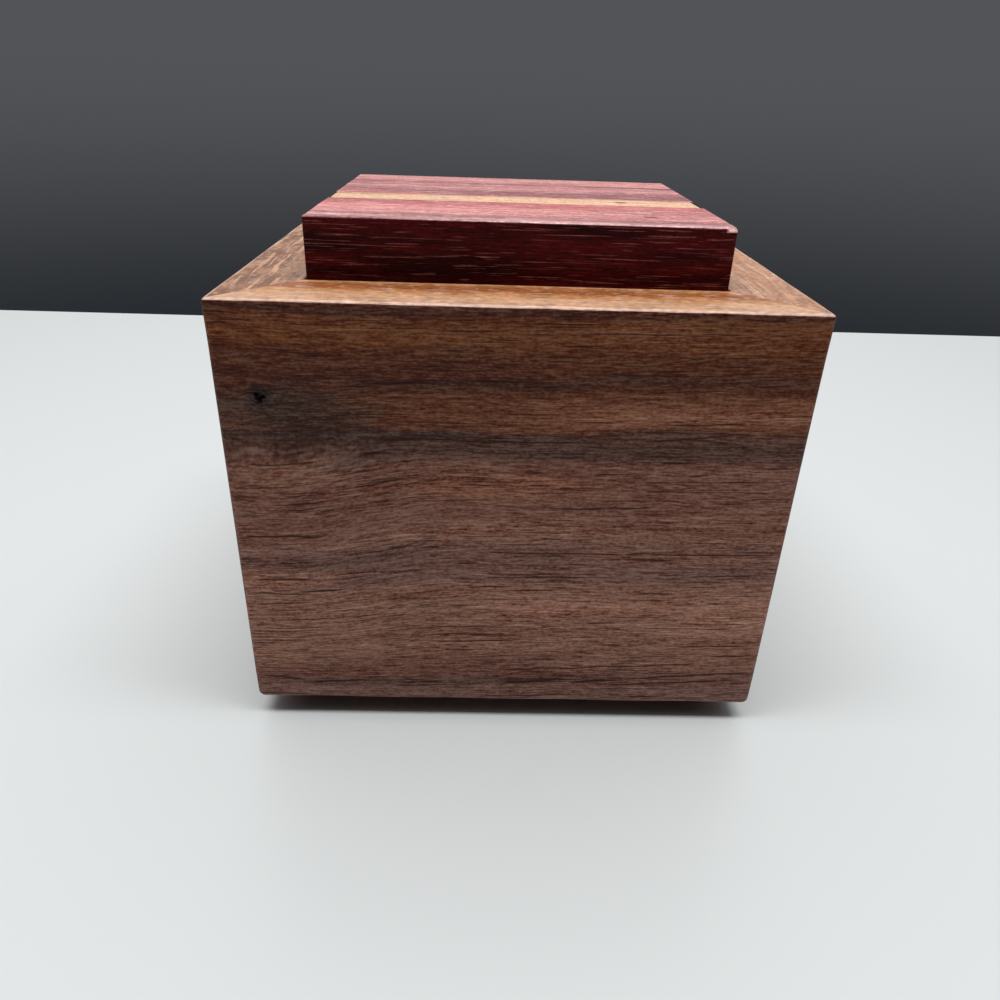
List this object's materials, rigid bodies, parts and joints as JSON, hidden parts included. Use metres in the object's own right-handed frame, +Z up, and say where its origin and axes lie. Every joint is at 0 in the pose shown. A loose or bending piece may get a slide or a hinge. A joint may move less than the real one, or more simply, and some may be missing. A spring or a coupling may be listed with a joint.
{
  "type": "wooden box",
  "caption": "Small free-standing walnut box with mitred corners, low rubber feet and a laminated hardwood lid that drops into the mouth and lifts off.",
  "frame": {"origin": "on the surface that the box stands on, under the centre of the body", "axes": "+Z up, the way the lid lifts; -Y is the front of the box, +X its right side seen from the front"},
  "size_m": [0.127, 0.124, 0.1207],
  "materials": {
    "walnut": "dark walnut with fine pores, rubbed oil, satin",
    "walnut_panel": "plain walnut panel, oiled, matt",
    "walnut_lining": "thin walnut boards, oiled, matt",
    "purpleheart": "purple-red hardwood with light pores, oiled, satin",
    "pale_wood": "pale yellow hardwood, oiled, satin",
    "black_rubber": "moulded, matt"
  },
  "bodies": {
    "box": {"front_board": "walnut", "right_board": "walnut", "back_board": "walnut", "left_board": "walnut", "bottom_panel": "walnut_panel", "front_lining": "walnut_lining", "right_lining": "walnut_lining", "back_lining": "walnut_lining", "left_lining": "walnut_lining", "foot_front_left": "black_rubber", "foot_front_right": "black_rubber", "foot_back_left": "black_rubber", "foot_back_right": "black_rubber"},
    "lid": {"lid_front_strip": "purpleheart", "lid_pale_strip": "pale_wood", "lid_middle_strip": "purpleheart", "lid_back_strip": "purpleheart"}
  },
  "joints": [
    {"name": "lid_lift", "type": "slide", "parent": "box", "child": "lid", "axis": [0, 0, 1], "range_m": [0, 0.1]}
  ]
}
